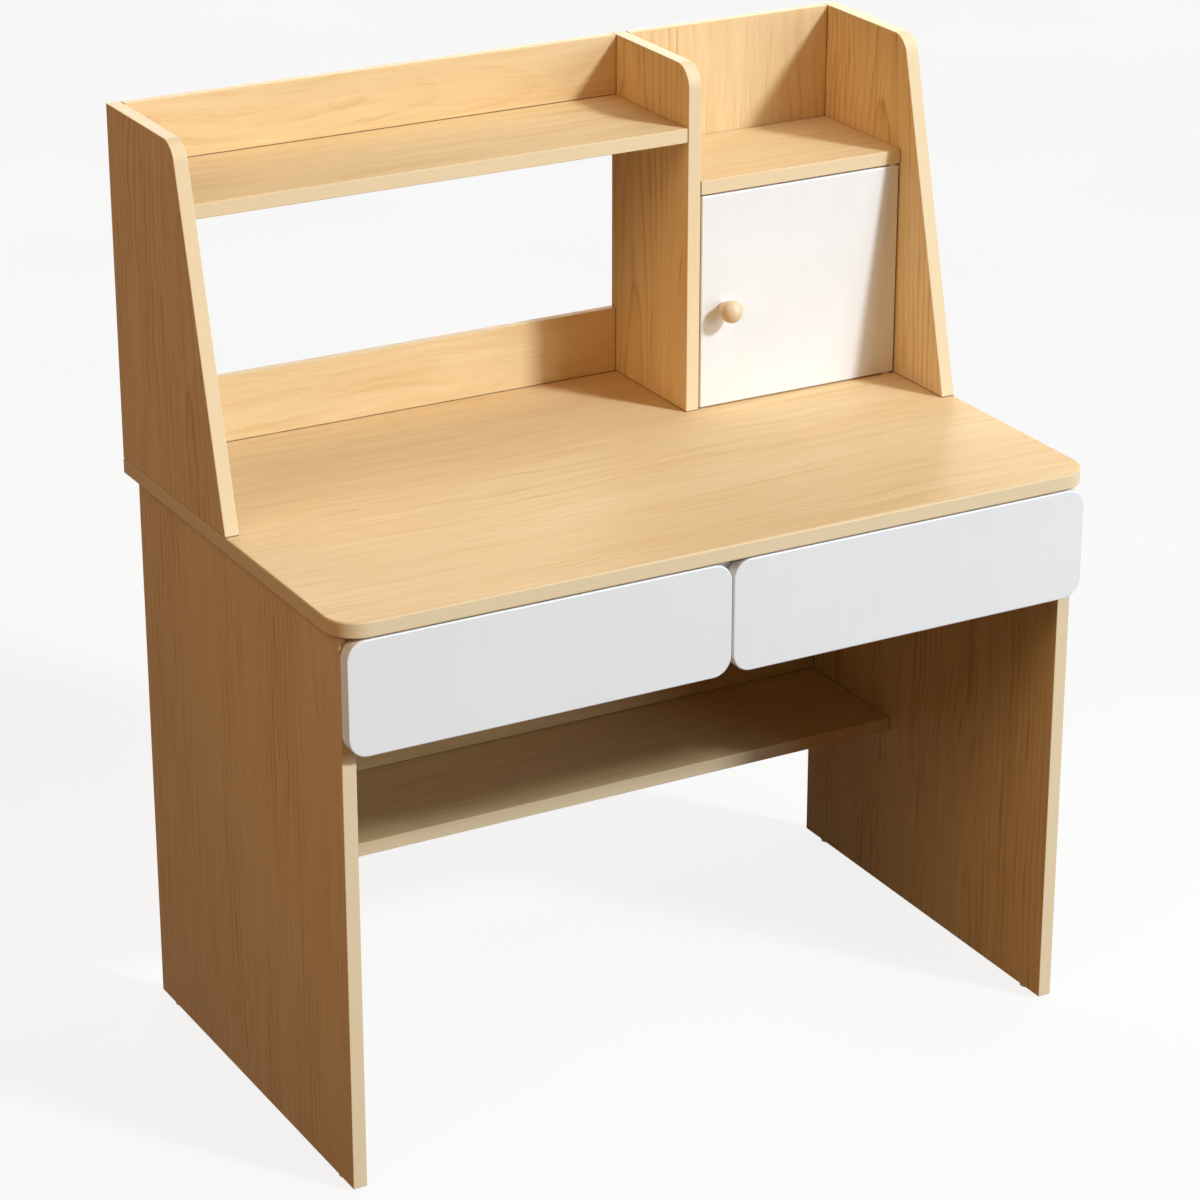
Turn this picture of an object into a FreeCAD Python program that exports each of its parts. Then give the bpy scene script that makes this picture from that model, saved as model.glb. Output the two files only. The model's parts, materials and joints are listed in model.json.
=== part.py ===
"""Student desk with a hutch: two telescopic drawers, open shelves and a hinged cupboard door.

Millimetres. +X is the user's right, -Y the front and +Z up. The origin is on the floor,
under the middle of the desktop.
"""
import FreeCAD, Part
import os
import re
import Sketcher

# Driving sizes: each one is a cell of the sheet and is written once.
SIZES = {
    # Desktop and boards
    "desk_width": 1000,
    "desk_depth": 600,
    "desk_height": 720,
    "desktop_thickness": 20,
    "desktop_corner": 40,
    "desktop_round": 2.5,
    "board": 18,
    "back_board": 12,
    "edge_round": 1.2,
    # Legs, their glides and the boards between them
    "leg_side_inset": 10,
    "leg_back_inset": 20,
    "glide_height": 3,
    "glide_radius": 8,
    "glide_nail_radius": 2.5,
    "glide_nail_length": 14,
    "glide_inset": 40,
    "lower_shelf_height": 250,
    "lower_shelf_depth": 200,
    "partition_height": 126,
    # Hutch
    "hutch_height": 440,
    "hutch_depth": 300,
    "hutch_top_depth": 190,
    "hutch_corner": 28,
    "cupboard_width": 290,
    "upper_shelf_rise": 364,
    "cupboard_shelf_rise": 295,
    "back_rail_height": 85,
    # Cupboard door, its pivots, knob and catch
    "door_thickness": 18,
    "door_gap": 2,
    "front_round": 2,
    "pivot_edge_inset": 9,
    "pivot_face_inset": 7,
    "pivot_radius": 2.5,
    "pivot_play": 0.05,
    "pivot_grip": 14,
    "pivot_reach": 8,
    "bush_radius": 4,
    "bush_flange_radius": 6,
    "bush_end_gap": 0.5,
    "bush_float": 0.3,
    "knob_edge_inset": 32,
    "knob_rise": 129,
    "knob_neck_radius": 7,
    "knob_head_radius": 14.5,
    "knob_flare": 20,
    "knob_dome": 14,
    "knob_screw_radius": 2,
    "knob_screw_bite": 14,
    "knob_screw_head_radius": 4,
    "knob_screw_head_height": 2.5,
    "catch_edge_inset": 58,
    "catch_width": 24,
    "catch_depth": 14,
    "catch_height": 12,
    "catch_ear_width": 10,
    "catch_ear_thickness": 3,
    "catch_play": 0.3,
    "strike_thickness": 1.2,
    "strike_height": 10,
    # Drawers
    "drawer_front_thickness": 18,
    "drawer_front_height": 140,
    "drawer_front_corner": 24,
    "drawer_front_setback": 2,
    "drawer_front_gap": 2,
    "drawer_top_gap": 2,
    "drawer_middle_gap": 2,
    "drawer_box_rise": 14,
    "drawer_box_height": 100,
    "drawer_box_length": 410,
    "drawer_board": 12,
    "drawer_bottom_thickness": 5,
    "drawer_bottom_rise": 10,
    "groove_depth": 5,
    # Telescopic slides
    "slide_length": 400,
    "slide_height": 45,
    "slide_width": 12.7,
    "slide_gauge": 1.2,
    "slide_setback": 2,
    "slide_web_gap": 2.2,
    "cabinet_flange": 9.5,
    "cabinet_lip": 1.5,
    "middle_flange": 7.1,
    "drawer_flange": 7,
    "ball_radius": 2,
    "ball_play": 0.3,
    "ball_spacing": 20,
    "outer_ball_line": 6,
    "inner_ball_line": 7.6,
    "cage_length": 120,
    "cage_width": 2,
    "cage_thickness": 1,
    # Fasteners
    "cam_radius": 7.5,
    "cam_depth": 12.5,
    "cam_reach": 24,
    "cam_hold": 3,
    "cam_inset": 40,
    "cam_slot_length": 9,
    "cam_slot_width": 1.6,
    "cam_slot_depth": 1.5,
    "bolt_thread_radius": 3.5,
    "bolt_thread_length": 11,
    "bolt_shank_radius": 2.5,
    "dowel_radius": 3,
    "dowel_length": 24,
    "dowel_inset": 50,
    "back_dowel_inset": 110,
    "screw_radius": 1.75,
    "screw_head_radius": 3.2,
    "screw_head_height": 1.6,
    "rail_screw_bite": 10,
    "rail_screw_inset": 45,
    "rail_screw_stagger": 16,
    "box_screw_length": 35,
    "box_screw_inset": 15,
    "front_dowel_inset": 25,
}

# Places worked out from the sizes, as formulas of their names.
PLACES = {
    "right": "desk_width / 2",
    "front": "-desk_depth / 2",
    "back": "desk_depth / 2",
    "underside": "desk_height - desktop_thickness",
    "top": "desk_height + hutch_height",
    "leg_outer": "right - leg_side_inset",
    "leg_inner": "leg_outer - board",
    "front_face": "front + drawer_front_setback",
    "front_rear": "front_face + drawer_front_thickness",
    "leg_front": "front_rear + drawer_front_gap",
    "leg_back": "back - leg_back_inset",
    "shelf_front": "leg_back - lower_shelf_depth",
    "panel_front": "leg_back - back_board",
    "partition_low": "underside - partition_height",
    "hutch_foot": "back - hutch_depth",
    "hutch_face": "back - hutch_top_depth",
    "hutch_inner": "right - board",
    "cupboard_left": "hutch_inner - cupboard_width",
    "divider_left": "cupboard_left - board",
    "back_rail_front": "back - back_board",
    "upper_shelf_top": "desk_height + upper_shelf_rise",
    "cupboard_shelf_top": "desk_height + cupboard_shelf_rise",
    "cupboard_ceiling": "cupboard_shelf_top - board",
    "door_left": "cupboard_left + door_gap",
    "door_right": "hutch_inner - door_gap",
    "door_low": "desk_height + door_gap",
    "door_high": "cupboard_ceiling - door_gap",
    "door_rear": "hutch_face + door_thickness",
    "pivot_x": "door_right - pivot_edge_inset",
    "pivot_y": "hutch_face + pivot_face_inset",
    "bush_depth": "pivot_reach + bush_end_gap",
    "knob_x": "door_left + knob_edge_inset",
    "knob_z": "desk_height + knob_rise",
    "catch_x": "door_left + catch_edge_inset",
    "catch_front": "door_rear + strike_thickness + catch_play",
    "front_high": "underside - drawer_top_gap",
    "front_low": "front_high - drawer_front_height",
    "box_low": "front_low + drawer_box_rise",
    "box_high": "box_low + drawer_box_height",
    "box_rear": "front_rear + drawer_box_length",
    "slide_middle": "box_low + drawer_box_height / 2",
    "slide_front": "leg_front + slide_setback",
    "ball_race": "2 * (ball_radius + ball_play)",
    "middle_height": "slide_height - 2 * (slide_gauge + ball_race)",
    "rail_height": "middle_height - 2 * (slide_gauge + ball_race)",
    "middle_web": "slide_gauge + slide_web_gap",
}

WAYS = {
    "+x": FreeCAD.Rotation(FreeCAD.Vector(0, 1, 0), 90),
    "-x": FreeCAD.Rotation(FreeCAD.Vector(0, 1, 0), -90),
    "+y": FreeCAD.Rotation(FreeCAD.Vector(1, 0, 0), -90),
    "-y": FreeCAD.Rotation(FreeCAD.Vector(1, 0, 0), 90),
    "+z": FreeCAD.Rotation(),
    "-z": FreeCAD.Rotation(FreeCAD.Vector(1, 0, 0), 180),
}
HALF_TURN = FreeCAD.Rotation(FreeCAD.Vector(0, 0, 1), 180)
PLANES = {"x": "YZ_Plane", "y": "XZ_Plane", "z": "XY_Plane"}
TINY = 1e-6

doc = FreeCAD.newDocument("StudentDesk")
sheet = doc.addObject("Spreadsheet::Sheet", "Sizes")
for row, (alias, size) in enumerate(SIZES.items(), start=1):
    sheet.set(f"A{row}", alias)
    sheet.set(f"B{row}", str(size))
    sheet.setAlias(f"B{row}", alias)
doc.recompute()

blanks = {}
drillings = {}
nodes = {}
groups = {}


def bound(formula):
    """Write a formula of size and place names as an expression on the sheet's cells."""
    def swap(match):
        name = match.group(0)
        if name in PLACES:
            return f"({bound(PLACES[name])})"
        return f"Sizes.{name}"
    return re.sub(r"[a-z]\w*", swap, formula)


def number(formula):
    return float(sheet.evalExpression(bound(formula)))


def place(piece, at):
    for axis, formula in zip("xyz", at):
        piece.setExpression(f"Placement.Base.{axis}", bound(formula))


def moved(at, way, distance):
    """The point reached from at by a distance along one of the six ways."""
    index = "xyz".index(way[1])
    steps = list(at)
    steps[index] = f"{at[index]} {way[0]} ({distance})"
    return tuple(steps)


def opposite(way):
    return {"+": "-", "-": "+"}[way[0]] + way[1]


def rod(name, radius, length, at, way):
    piece = doc.addObject("Part::Cylinder", name)
    piece.setExpression("Radius", bound(radius))
    piece.setExpression("Height", bound(length))
    piece.Placement = FreeCAD.Placement(FreeCAD.Vector(), WAYS[way])
    place(piece, at)
    return piece


def block(name, size, at):
    piece = doc.addObject("Part::Box", name)
    for side, formula in zip(("Length", "Width", "Height"), size):
        piece.setExpression(side, bound(formula))
    place(piece, at)
    return piece


def fused(name, pieces):
    if len(pieces) == 1:
        return pieces[0]
    whole = doc.addObject("Part::MultiFuse", name)
    whole.Shapes = pieces
    return whole


def cut(name, base, tools):
    result = doc.addObject("Part::Cut", name)
    result.Base = base
    result.Tool = fused(name + "_tools", tools)
    return result


def keep(node, piece):
    """Make a piece a sub-part of its own."""
    piece.Label = node
    nodes[node] = piece


def add_to_group(node, piece):
    """Put a piece with the like pieces that share one sub-part."""
    groups.setdefault(node, []).append(piece)


def drill(board_name, *tools):
    """Take the room of fasteners and fittings out of a board."""
    drillings.setdefault(board_name, []).extend(tools)


def outline(sketch, points):
    """Draw a closed polygon whose corners are bound to formulas."""
    corners = [FreeCAD.Vector(number(across), number(up), 0) for across, up in points]
    count = len(corners)
    for index, corner in enumerate(corners):
        sketch.addGeometry(Part.LineSegment(corner, corners[(index + 1) % count]), False)
    for index in range(count):
        sketch.addConstraint(Sketcher.Constraint("Coincident", index, 2, (index + 1) % count, 1))
    for index, point in enumerate(points):
        for kind, formula, axis in zip(("DistanceX", "DistanceY"), point, (-2, -1)):
            if formula == "0":
                sketch.addConstraint(Sketcher.Constraint("PointOnObject", index, 1, axis))
                continue
            rule = Sketcher.Constraint(kind, -1, 1, index, 1, number(formula))
            position = sketch.addConstraint(rule)
            sketch.setExpression(f"Constraints[{position}]", bound(formula))


def extrusion(name, axis, points, length):
    """A body padded along one axis from an outline, standing in its own corner."""
    body = doc.addObject("PartDesign::Body", name + "_body")
    sketch = body.newObject("Sketcher::SketchObject", name + "_outline")
    planes = {feature.Role: feature for feature in body.Origin.OriginFeatures}
    sketch.AttachmentSupport = [(planes[PLANES[axis]], "")]
    sketch.MapMode = "FlatFace"
    outline(sketch, points)
    pad = body.newObject("PartDesign::Pad", name + "_pad")
    pad.Profile = sketch
    pad.Reversed = axis == "y"
    pad.setExpression("Length", bound(length))
    return body, pad


def rounded(body, base, name, radius, edges=None):
    """Round the named edges of the last feature, or all of them."""
    fillet = body.newObject("PartDesign::Fillet", name)
    fillet.Base = (base, edges or ["Edge1"])
    fillet.UseAllEdges = edges is None
    fillet.setExpression("Radius", bound(radius))
    return fillet


def corner_edges(shape, axis, corners):
    """Names of the edges that run along the axis at the given corners of the outline."""
    found = []
    others = [index for index in range(3) if index != "xyz".index(axis)]
    for position, edge in enumerate(shape.Edges, start=1):
        middle = edge.CenterOfMass
        for corner in corners:
            if all(abs(middle[i] - number(formula)) < TINY for i, formula in zip(others, corner)):
                found.append(f"Edge{position}")
    return found


def rim_edges(shape, axis):
    """Names of the edges that lie round the two flat faces of a board."""
    span = {"x": "XLength", "y": "YLength", "z": "ZLength"}[axis]
    edges = enumerate(shape.Edges, start=1)
    return [f"Edge{position}" for position, edge in edges if getattr(edge.BoundBox, span) < TINY]


def board(name, axis, size, at, edge="edge_round"):
    """A flat rectangular board: its thickness runs along the axis and its edges are eased."""
    spans = dict(zip("xyz", size))
    length = spans.pop(axis)
    across, up = spans.values()
    points = [("0", "0"), (across, "0"), (across, up), ("0", up)]
    body, pad = extrusion(name, axis, points, length)
    rounded(body, pad, name + "_edges", edge)
    place(body, at)
    blanks[name] = body


def shaped_board(name, axis, points, thickness, corners, radius, at, edge):
    """A board with some corners of its outline rounded, and its rim eased."""
    body, pad = extrusion(name, axis, points, thickness)
    doc.recompute()
    bend = rounded(body, pad, name + "_corners", radius, corner_edges(pad.Shape, axis, corners))
    doc.recompute()
    rounded(body, bend, name + "_edges", edge, rim_edges(bend.Shape, axis))
    place(body, at)
    blanks[name] = body


def cam_joint(housing, receiver, at, way, face):
    """Lock a board's edge to another board: a bolt in the receiver, a cam in the housing's face.

    at is where the bolt crosses the joint, way leads into the housing board and face leads
    from the middle of that board to the face that the cam is let into.
    """
    thread_start = moved(at, way, "-bolt_thread_length")
    thread = rod("bolt_thread", "bolt_thread_radius", "bolt_thread_length", thread_start, way)
    shank = rod("bolt_shank", "bolt_shank_radius", "cam_reach + cam_hold", at, way)
    bolt = fused("cam_bolt", [thread, shank])
    cam_start = moved(moved(at, way, "cam_reach"), face, "board / 2")
    seat = rod("cam_seat", "cam_radius", "cam_depth", cam_start, opposite(face))
    spans = dict.fromkeys("xyz", "cam_slot_width")
    spans[way[1]] = "cam_slot_length"
    spans[face[1]] = "2 * cam_slot_depth"
    corner = [f"{middle} - ({span}) / 2" for middle, span in zip(cam_start, spans.values())]
    slot = block("cam_slot", spans.values(), corner)
    add_to_group("cam_bolts", bolt)
    add_to_group("cam_locks", cut("cam_lock", seat, [bolt, slot]))
    drill(housing, seat, bolt)
    drill(receiver, bolt)


def dowel(first, second, at, way, group="wood_dowels"):
    """A plain dowel, half in each of two boards, whose middle is on the joint."""
    start = moved(at, way, "-dowel_length / 2")
    peg = rod("dowel", "dowel_radius", "dowel_length", start, way)
    add_to_group(group, peg)
    drill(first, peg)
    drill(second, peg)


def along(at, spot):
    """Fill in the open coordinate of a joint's line."""
    return tuple(spot if formula is None else formula for formula in at)


def cam_row(housing, receiver, at, span, way, face):
    """Two cams near the ends of a joint and a dowel at its middle."""
    start, end = span
    cam_joint(housing, receiver, along(at, f"{start} + cam_inset"), way, face)
    cam_joint(housing, receiver, along(at, f"{end} - cam_inset"), way, face)
    dowel(housing, receiver, along(at, f"(({start}) + ({end})) / 2"), way)


def dowel_pair(first, second, at, span, way, inset="dowel_inset"):
    start, end = span
    dowel(first, second, along(at, f"{start} + {inset}"), way)
    dowel(first, second, along(at, f"{end} - {inset}"), way)


def screw(name, length, at, way):
    """A pan-head screw: at is the seat of its head, way leads along its shank."""
    head = rod(name + "_head", "screw_head_radius", "screw_head_height", at, opposite(way))
    shank = rod(name + "_shank", "screw_radius", length, at, way)
    return fused(name, [head, shank])


def make_desktop():
    points = [("0", "0"), ("desk_width", "0"), ("desk_width", "desk_depth"), ("0", "desk_depth")]
    at = ("-right", "front", "underside")
    shaped_board("desktop", "z", points, "desktop_thickness", points[:2], "desktop_corner", at,
                 "desktop_round")


def make_leg(node, outer_face, inner_face, low_x, inner_way):
    """One leg panel, its cams under the desktop and the two glides that it stands on."""
    size = ("board", "leg_back - leg_front", "underside - glide_height")
    board(node, "x", size, (low_x, "leg_front", "glide_height"))
    middle = f"({outer_face} + {inner_face}) / 2"
    cam_row(node, "desktop", (middle, None, "underside"), ("leg_front", "leg_back"), "-z", inner_way)
    for spot in ("leg_front + glide_inset", "leg_back - glide_inset"):
        disc = rod("glide_disc", "glide_radius", "glide_height", (middle, spot, "0"), "+z")
        nail_at = (middle, spot, "glide_height")
        nail = rod("glide_nail", "glide_nail_radius", "glide_nail_length", nail_at, "+z")
        add_to_group("foot_glides", fused("foot_glide", [disc, nail]))
        drill(node, nail)


def make_base_boards():
    """The low shelf, the panel behind the knees and the partition between the drawers."""
    board("lower_shelf", "z", ("2 * leg_inner", "lower_shelf_depth", "board"),
          ("-leg_inner", "shelf_front", "lower_shelf_height - board"))
    board("lower_back_panel", "y", ("2 * leg_inner", "back_board", "underside - lower_shelf_height"),
          ("-leg_inner", "panel_front", "lower_shelf_height"))
    board("drawer_partition", "x", ("board", "panel_front - leg_front", "partition_height"),
          ("-board / 2", "leg_front", "partition_low"))
    shelf_middle = "lower_shelf_height - board / 2"
    panel_middle = "leg_back - back_board / 2"
    for leg, face, way in (("left_leg", "-leg_inner", "+x"), ("right_leg", "leg_inner", "-x")):
        cam_row("lower_shelf", leg, (face, None, shelf_middle), ("shelf_front", "leg_back"), way, "-z")
        dowel_pair("lower_back_panel", leg, (face, panel_middle, None),
                   ("lower_shelf_height", "underside"), way, "back_dowel_inset")
    panel_span = ("-leg_inner", "leg_inner")
    low_line = (None, panel_middle, "lower_shelf_height")
    dowel_pair("lower_back_panel", "lower_shelf", low_line, panel_span, "+z")
    high_line = (None, panel_middle, "underside")
    dowel_pair("lower_back_panel", "desktop", high_line, panel_span, "-z")
    cam_row("drawer_partition", "desktop", ("0", None, "underside"), ("leg_front", "panel_front"),
            "-z", "-x")


def make_hutch_uprights():
    """Two sides with slanted fronts and the upright divider, all standing on the desktop."""
    slope = "hutch_depth - hutch_top_depth"
    side = [("0", "0"), ("hutch_depth", "0"), ("hutch_depth", "hutch_height"), (slope, "hutch_height")]
    for node, low_x in (("hutch_left_side", "-right"), ("hutch_right_side", "hutch_inner")):
        shaped_board(node, "x", side, "board", side[3:], "hutch_corner",
                     (low_x, "hutch_foot", "desk_height"), "edge_round")
    upright = [("0", "0"), ("hutch_top_depth", "0"), ("hutch_top_depth", "hutch_height"),
               ("0", "hutch_height")]
    shaped_board("hutch_divider", "x", upright, "board", upright[3:], "hutch_corner",
                 ("divider_left", "hutch_face", "desk_height"), "edge_round")
    feet = (("hutch_left_side", "-right + board / 2", "+x"),
            ("hutch_divider", "divider_left + board / 2", "+x"),
            ("hutch_right_side", "right - board / 2", "-x"))
    for node, middle, inner_way in feet:
        cam_row(node, "desktop", (middle, None, "desk_height"), ("door_rear", "back"), "+z", inner_way)


def make_hutch_shelf(node, left, right, shelf_top, rear):
    """A shelf between two uprights, level with the divider's front."""
    left_x, left_board = left
    right_x, right_board = right
    board(node, "z", (f"({right_x}) - ({left_x})", f"({rear}) - hutch_face", "board"),
          (left_x, "hutch_face", f"{shelf_top} - board"))
    middle = f"{shelf_top} - board / 2"
    for upright, face, way in ((left_board, left_x, "+x"), (right_board, right_x, "-x")):
        cam_row(node, upright, (face, None, middle), ("hutch_face", rear), way, "-z")


def make_hutch_back(node, left, right, low, high, carrier, end_spots):
    """A back board between two uprights: dowels at its ends and in what it stands on."""
    left_x, left_board = left
    right_x, right_board = right
    board(node, "y", (f"({right_x}) - ({left_x})", "back_board", f"({high}) - ({low})"),
          (left_x, "back_rail_front", low))
    middle = "back - back_board / 2"
    for spot in end_spots:
        dowel(node, left_board, (left_x, middle, spot), "+x")
        dowel(node, right_board, (right_x, middle, spot), "-x")
    dowel_pair(node, carrier, (None, middle, low), (left_x, right_x), "+z")


def make_hutch_boards():
    open_bay = (("-hutch_inner", "hutch_left_side"), ("divider_left", "hutch_divider"))
    cupboard = (("cupboard_left", "hutch_divider"), ("hutch_inner", "hutch_right_side"))
    make_hutch_shelf("upper_shelf", *open_bay, "upper_shelf_top", "back")
    make_hutch_shelf("cupboard_shelf", *cupboard, "cupboard_shelf_top", "back_rail_front")
    make_hutch_back("lower_back_rail", *open_bay, "desk_height", "desk_height + back_rail_height",
                    "desktop", ["desk_height + back_rail_height / 2"])
    make_hutch_back("upper_back_rail", *open_bay, "upper_shelf_top", "top", "upper_shelf",
                    ["(upper_shelf_top + top) / 2"])
    make_hutch_back("cupboard_back", *cupboard, "desk_height", "top", "desktop",
                    ["desk_height + back_dowel_inset", "top - back_dowel_inset"])


def make_door():
    """The inset door and the two pins that it turns on."""
    size = ("door_right - door_left", "door_thickness", "door_high - door_low")
    board("cupboard_door", "y", size, ("door_left", "hutch_face", "door_low"), "front_round")
    length = "pivot_grip + door_gap + pivot_reach"
    flange_height = "door_gap - bush_float"
    ends = (("desktop", "desk_height", "+z"), ("cupboard_shelf", "cupboard_ceiling", "-z"))
    for carrier, level, inward in ends:
        seat = ("pivot_x", "pivot_y", level)
        outward = opposite(inward)
        pin_end = moved(seat, outward, "pivot_reach")
        pin = rod("pivot_pin", "pivot_radius", length, pin_end, inward)
        add_to_group("door_pivot_pins", pin)
        drill("cupboard_door", pin)
        sleeve = rod("bush_sleeve", "bush_radius", "bush_depth", seat, outward)
        flange = rod("bush_flange", "bush_flange_radius", flange_height, seat, inward)
        bore_start = moved(seat, outward, "bush_depth")
        bore = rod("bush_bore", "pivot_radius + pivot_play", f"bush_depth + {flange_height}",
                   bore_start, inward)
        add_to_group("pivot_bushes", cut("pivot_bush", fused("bush_blank", [sleeve, flange]), [bore]))
        drill(carrier, sleeve)


def make_knob():
    """A turned knob: a flared neck and a domed head, held by a screw from inside the door."""
    seat = ("knob_x", "hutch_face", "knob_z")
    neck = doc.addObject("Part::Cone", "knob_neck")
    neck.setExpression("Radius1", bound("knob_neck_radius"))
    neck.setExpression("Radius2", bound("knob_head_radius"))
    neck.setExpression("Height", bound("knob_flare"))
    dome = doc.addObject("Part::Ellipsoid", "knob_dome")
    dome.setExpression("Radius1", bound("knob_dome"))
    dome.setExpression("Radius2", bound("knob_head_radius"))
    dome.setExpression("Radius3", bound("knob_head_radius"))
    dome.Angle1 = 0
    for piece, at in ((neck, seat), (dome, moved(seat, "-y", "knob_flare"))):
        piece.Placement = FreeCAD.Placement(FreeCAD.Vector(), WAYS["-y"])
        place(piece, at)
    head_seat = ("knob_x", "door_rear", "knob_z")
    head = rod("knob_screw_head", "knob_screw_head_radius", "knob_screw_head_height", head_seat, "+y")
    shank = rod("knob_screw_shank", "knob_screw_radius", "door_thickness + knob_screw_bite",
                head_seat, "-y")
    knob_screw = fused("knob_screw_whole", [head, shank])
    drill("cupboard_door", shank)
    keep("door_knob", cut("knob", fused("knob_blank", [neck, dome]), [shank]))
    keep("knob_screw", knob_screw)


def make_catch():
    """A magnetic catch under the cupboard's shelf and its strike plate on the door."""
    half = "catch_width / 2"
    body = block("catch_body", ("catch_width", "catch_depth", "catch_height"),
                 (f"catch_x - {half}", "catch_front", "cupboard_ceiling - catch_height"))
    ears = block("catch_ears", ("catch_width + 2 * catch_ear_width", "catch_depth", "catch_ear_thickness"),
                 (f"catch_x - {half} - catch_ear_width", "catch_front",
                  "cupboard_ceiling - catch_ear_thickness"))
    screws = []
    for way in ("-x", "+x"):
        spot = ("catch_x", "catch_front + catch_depth / 2", "cupboard_ceiling - catch_ear_thickness")
        at = moved(spot, way, f"{half} + catch_ear_width / 2")
        screws.append(screw("catch_screw", "catch_ear_thickness + rail_screw_bite", at, "+z"))
    for piece in screws:
        add_to_group("catch_screws", piece)
        drill("cupboard_shelf", piece)
    keep("magnetic_catch", cut("catch", fused("catch_blank", [body, ears]), screws))
    plate = block("strike", ("catch_width", "strike_thickness", "strike_height"),
                  (f"catch_x - {half}", "door_rear", "cupboard_ceiling - catch_height"))
    keep("strike_plate", plate)


def make_drawer(side, left_wall, right_wall, front_left, front_right):
    """A drawer: its front, two sides, back and bottom, with their dowels and screws."""
    left = f"({left_wall} + slide_width)"
    right = f"({right_wall} - slide_width)"
    name = f"{side}_drawer"
    width = f"({front_right}) - ({front_left})"
    outer = [("0", "0"), (width, "0"), (width, "drawer_front_height"), ("0", "drawer_front_height")]
    shaped_board(f"{name}_front", "y", outer, "drawer_front_thickness", outer, "drawer_front_corner",
                 (front_left, "front_face", "front_low"), "front_round")
    side_size = ("drawer_board", "drawer_box_length", "drawer_box_height")
    board(f"{name}_left_side", "x", side_size, (left, "front_rear", "box_low"))
    board(f"{name}_right_side", "x", side_size, (f"{right} - drawer_board", "front_rear", "box_low"))
    inner_left = f"{left} + drawer_board"
    inner_width = f"{right} - {left} - 2 * drawer_board"
    board(f"{name}_back", "y", (inner_width, "drawer_board", "drawer_box_height"),
          (inner_left, "box_rear - drawer_board", "box_low"))
    bottom_size = (f"{inner_width} + 2 * groove_depth",
                   "drawer_box_length - drawer_board + 2 * groove_depth", "drawer_bottom_thickness")
    bottom = block(f"{name}_bottom_sheet", bottom_size,
                   (f"{inner_left} - groove_depth", "front_rear - groove_depth",
                    "box_low + drawer_bottom_rise"))
    keep(f"{name}_bottom", bottom)
    for piece in ("front", "left_side", "right_side", "back"):
        drill(f"{name}_{piece}", bottom)
    sides = (("left_side", left, "+x"), ("right_side", right, "-x"))
    for piece, face, inward in sides:
        for level in ("box_low + front_dowel_inset", "box_high - front_dowel_inset"):
            at = moved((face, "front_rear", level), inward, "drawer_board / 2")
            dowel(f"{name}_{piece}", f"{name}_front", at, "+y", f"{name}_dowels")
        for level in ("box_low + drawer_bottom_rise / 2", "box_high - box_screw_inset"):
            seat = moved((face, "box_rear - drawer_board / 2", level), inward, "screw_head_height")
            fixing = screw(f"{name}_box_screw", "box_screw_length", seat, inward)
            add_to_group(f"{name}_box_screws", fixing)
            drill(f"{name}_{piece}", fixing)
            drill(f"{name}_back", fixing)


def slide_member(node, wall, hand, profile, height):
    """One rail of a slide: its section stands off the wall and runs the slide's length."""
    body, _ = extrusion(node, "y", profile, "slide_length")
    start = "slide_front"
    if hand == "-x":
        body.Placement = FreeCAD.Placement(FreeCAD.Vector(), HALF_TURN)
        start = "slide_front + slide_length"
    place(body, (wall, start, f"slide_middle - {height} / 2"))
    return body


def cabinet_section():
    """A channel open to the drawer, with lips that keep the balls in."""
    lip = "slide_gauge + cabinet_lip"
    reach = "cabinet_flange - slide_gauge"
    inner = "slide_height - slide_gauge"
    return [("0", "0"), ("cabinet_flange", "0"), ("cabinet_flange", lip), (reach, lip),
            (reach, "slide_gauge"), ("slide_gauge", "slide_gauge"), ("slide_gauge", inner),
            (reach, inner), (reach, f"slide_height - ({lip})"),
            ("cabinet_flange", f"slide_height - ({lip})"), ("cabinet_flange", "slide_height"),
            ("0", "slide_height")]


def channel_section(web, web_inner, tip, height):
    """A plain channel between its web and the tips of its two flanges."""
    inner = f"{height} - slide_gauge"
    return [(web, "0"), (tip, "0"), (tip, "slide_gauge"), (web_inner, "slide_gauge"),
            (web_inner, inner), (tip, inner), (tip, height), (web, height)]


def ball_row(name, wall, hand, ball_line, level):
    """A strip of balls in their cage, half way along a closed slide."""
    line = moved((wall, "slide_front + slide_length / 2", level), hand, ball_line)
    corner = (f"{line[0]} - cage_width / 2", f"{line[1]} - cage_length / 2",
              f"{level} - cage_thickness / 2")
    pieces = [block(name + "_strip", ("cage_width", "cage_length", "cage_thickness"), corner)]
    count = int(number("cage_length / ball_spacing"))
    for step in range(count):
        ball = doc.addObject("Part::Sphere", name + "_ball")
        ball.setExpression("Radius", bound("ball_radius"))
        offset = f"{step} * ball_spacing - ({count} - 1) * ball_spacing / 2"
        place(ball, (line[0], f"{line[1]} + {offset}", level))
        pieces.append(ball)
    return fused(name + "_row", pieces)


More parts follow.
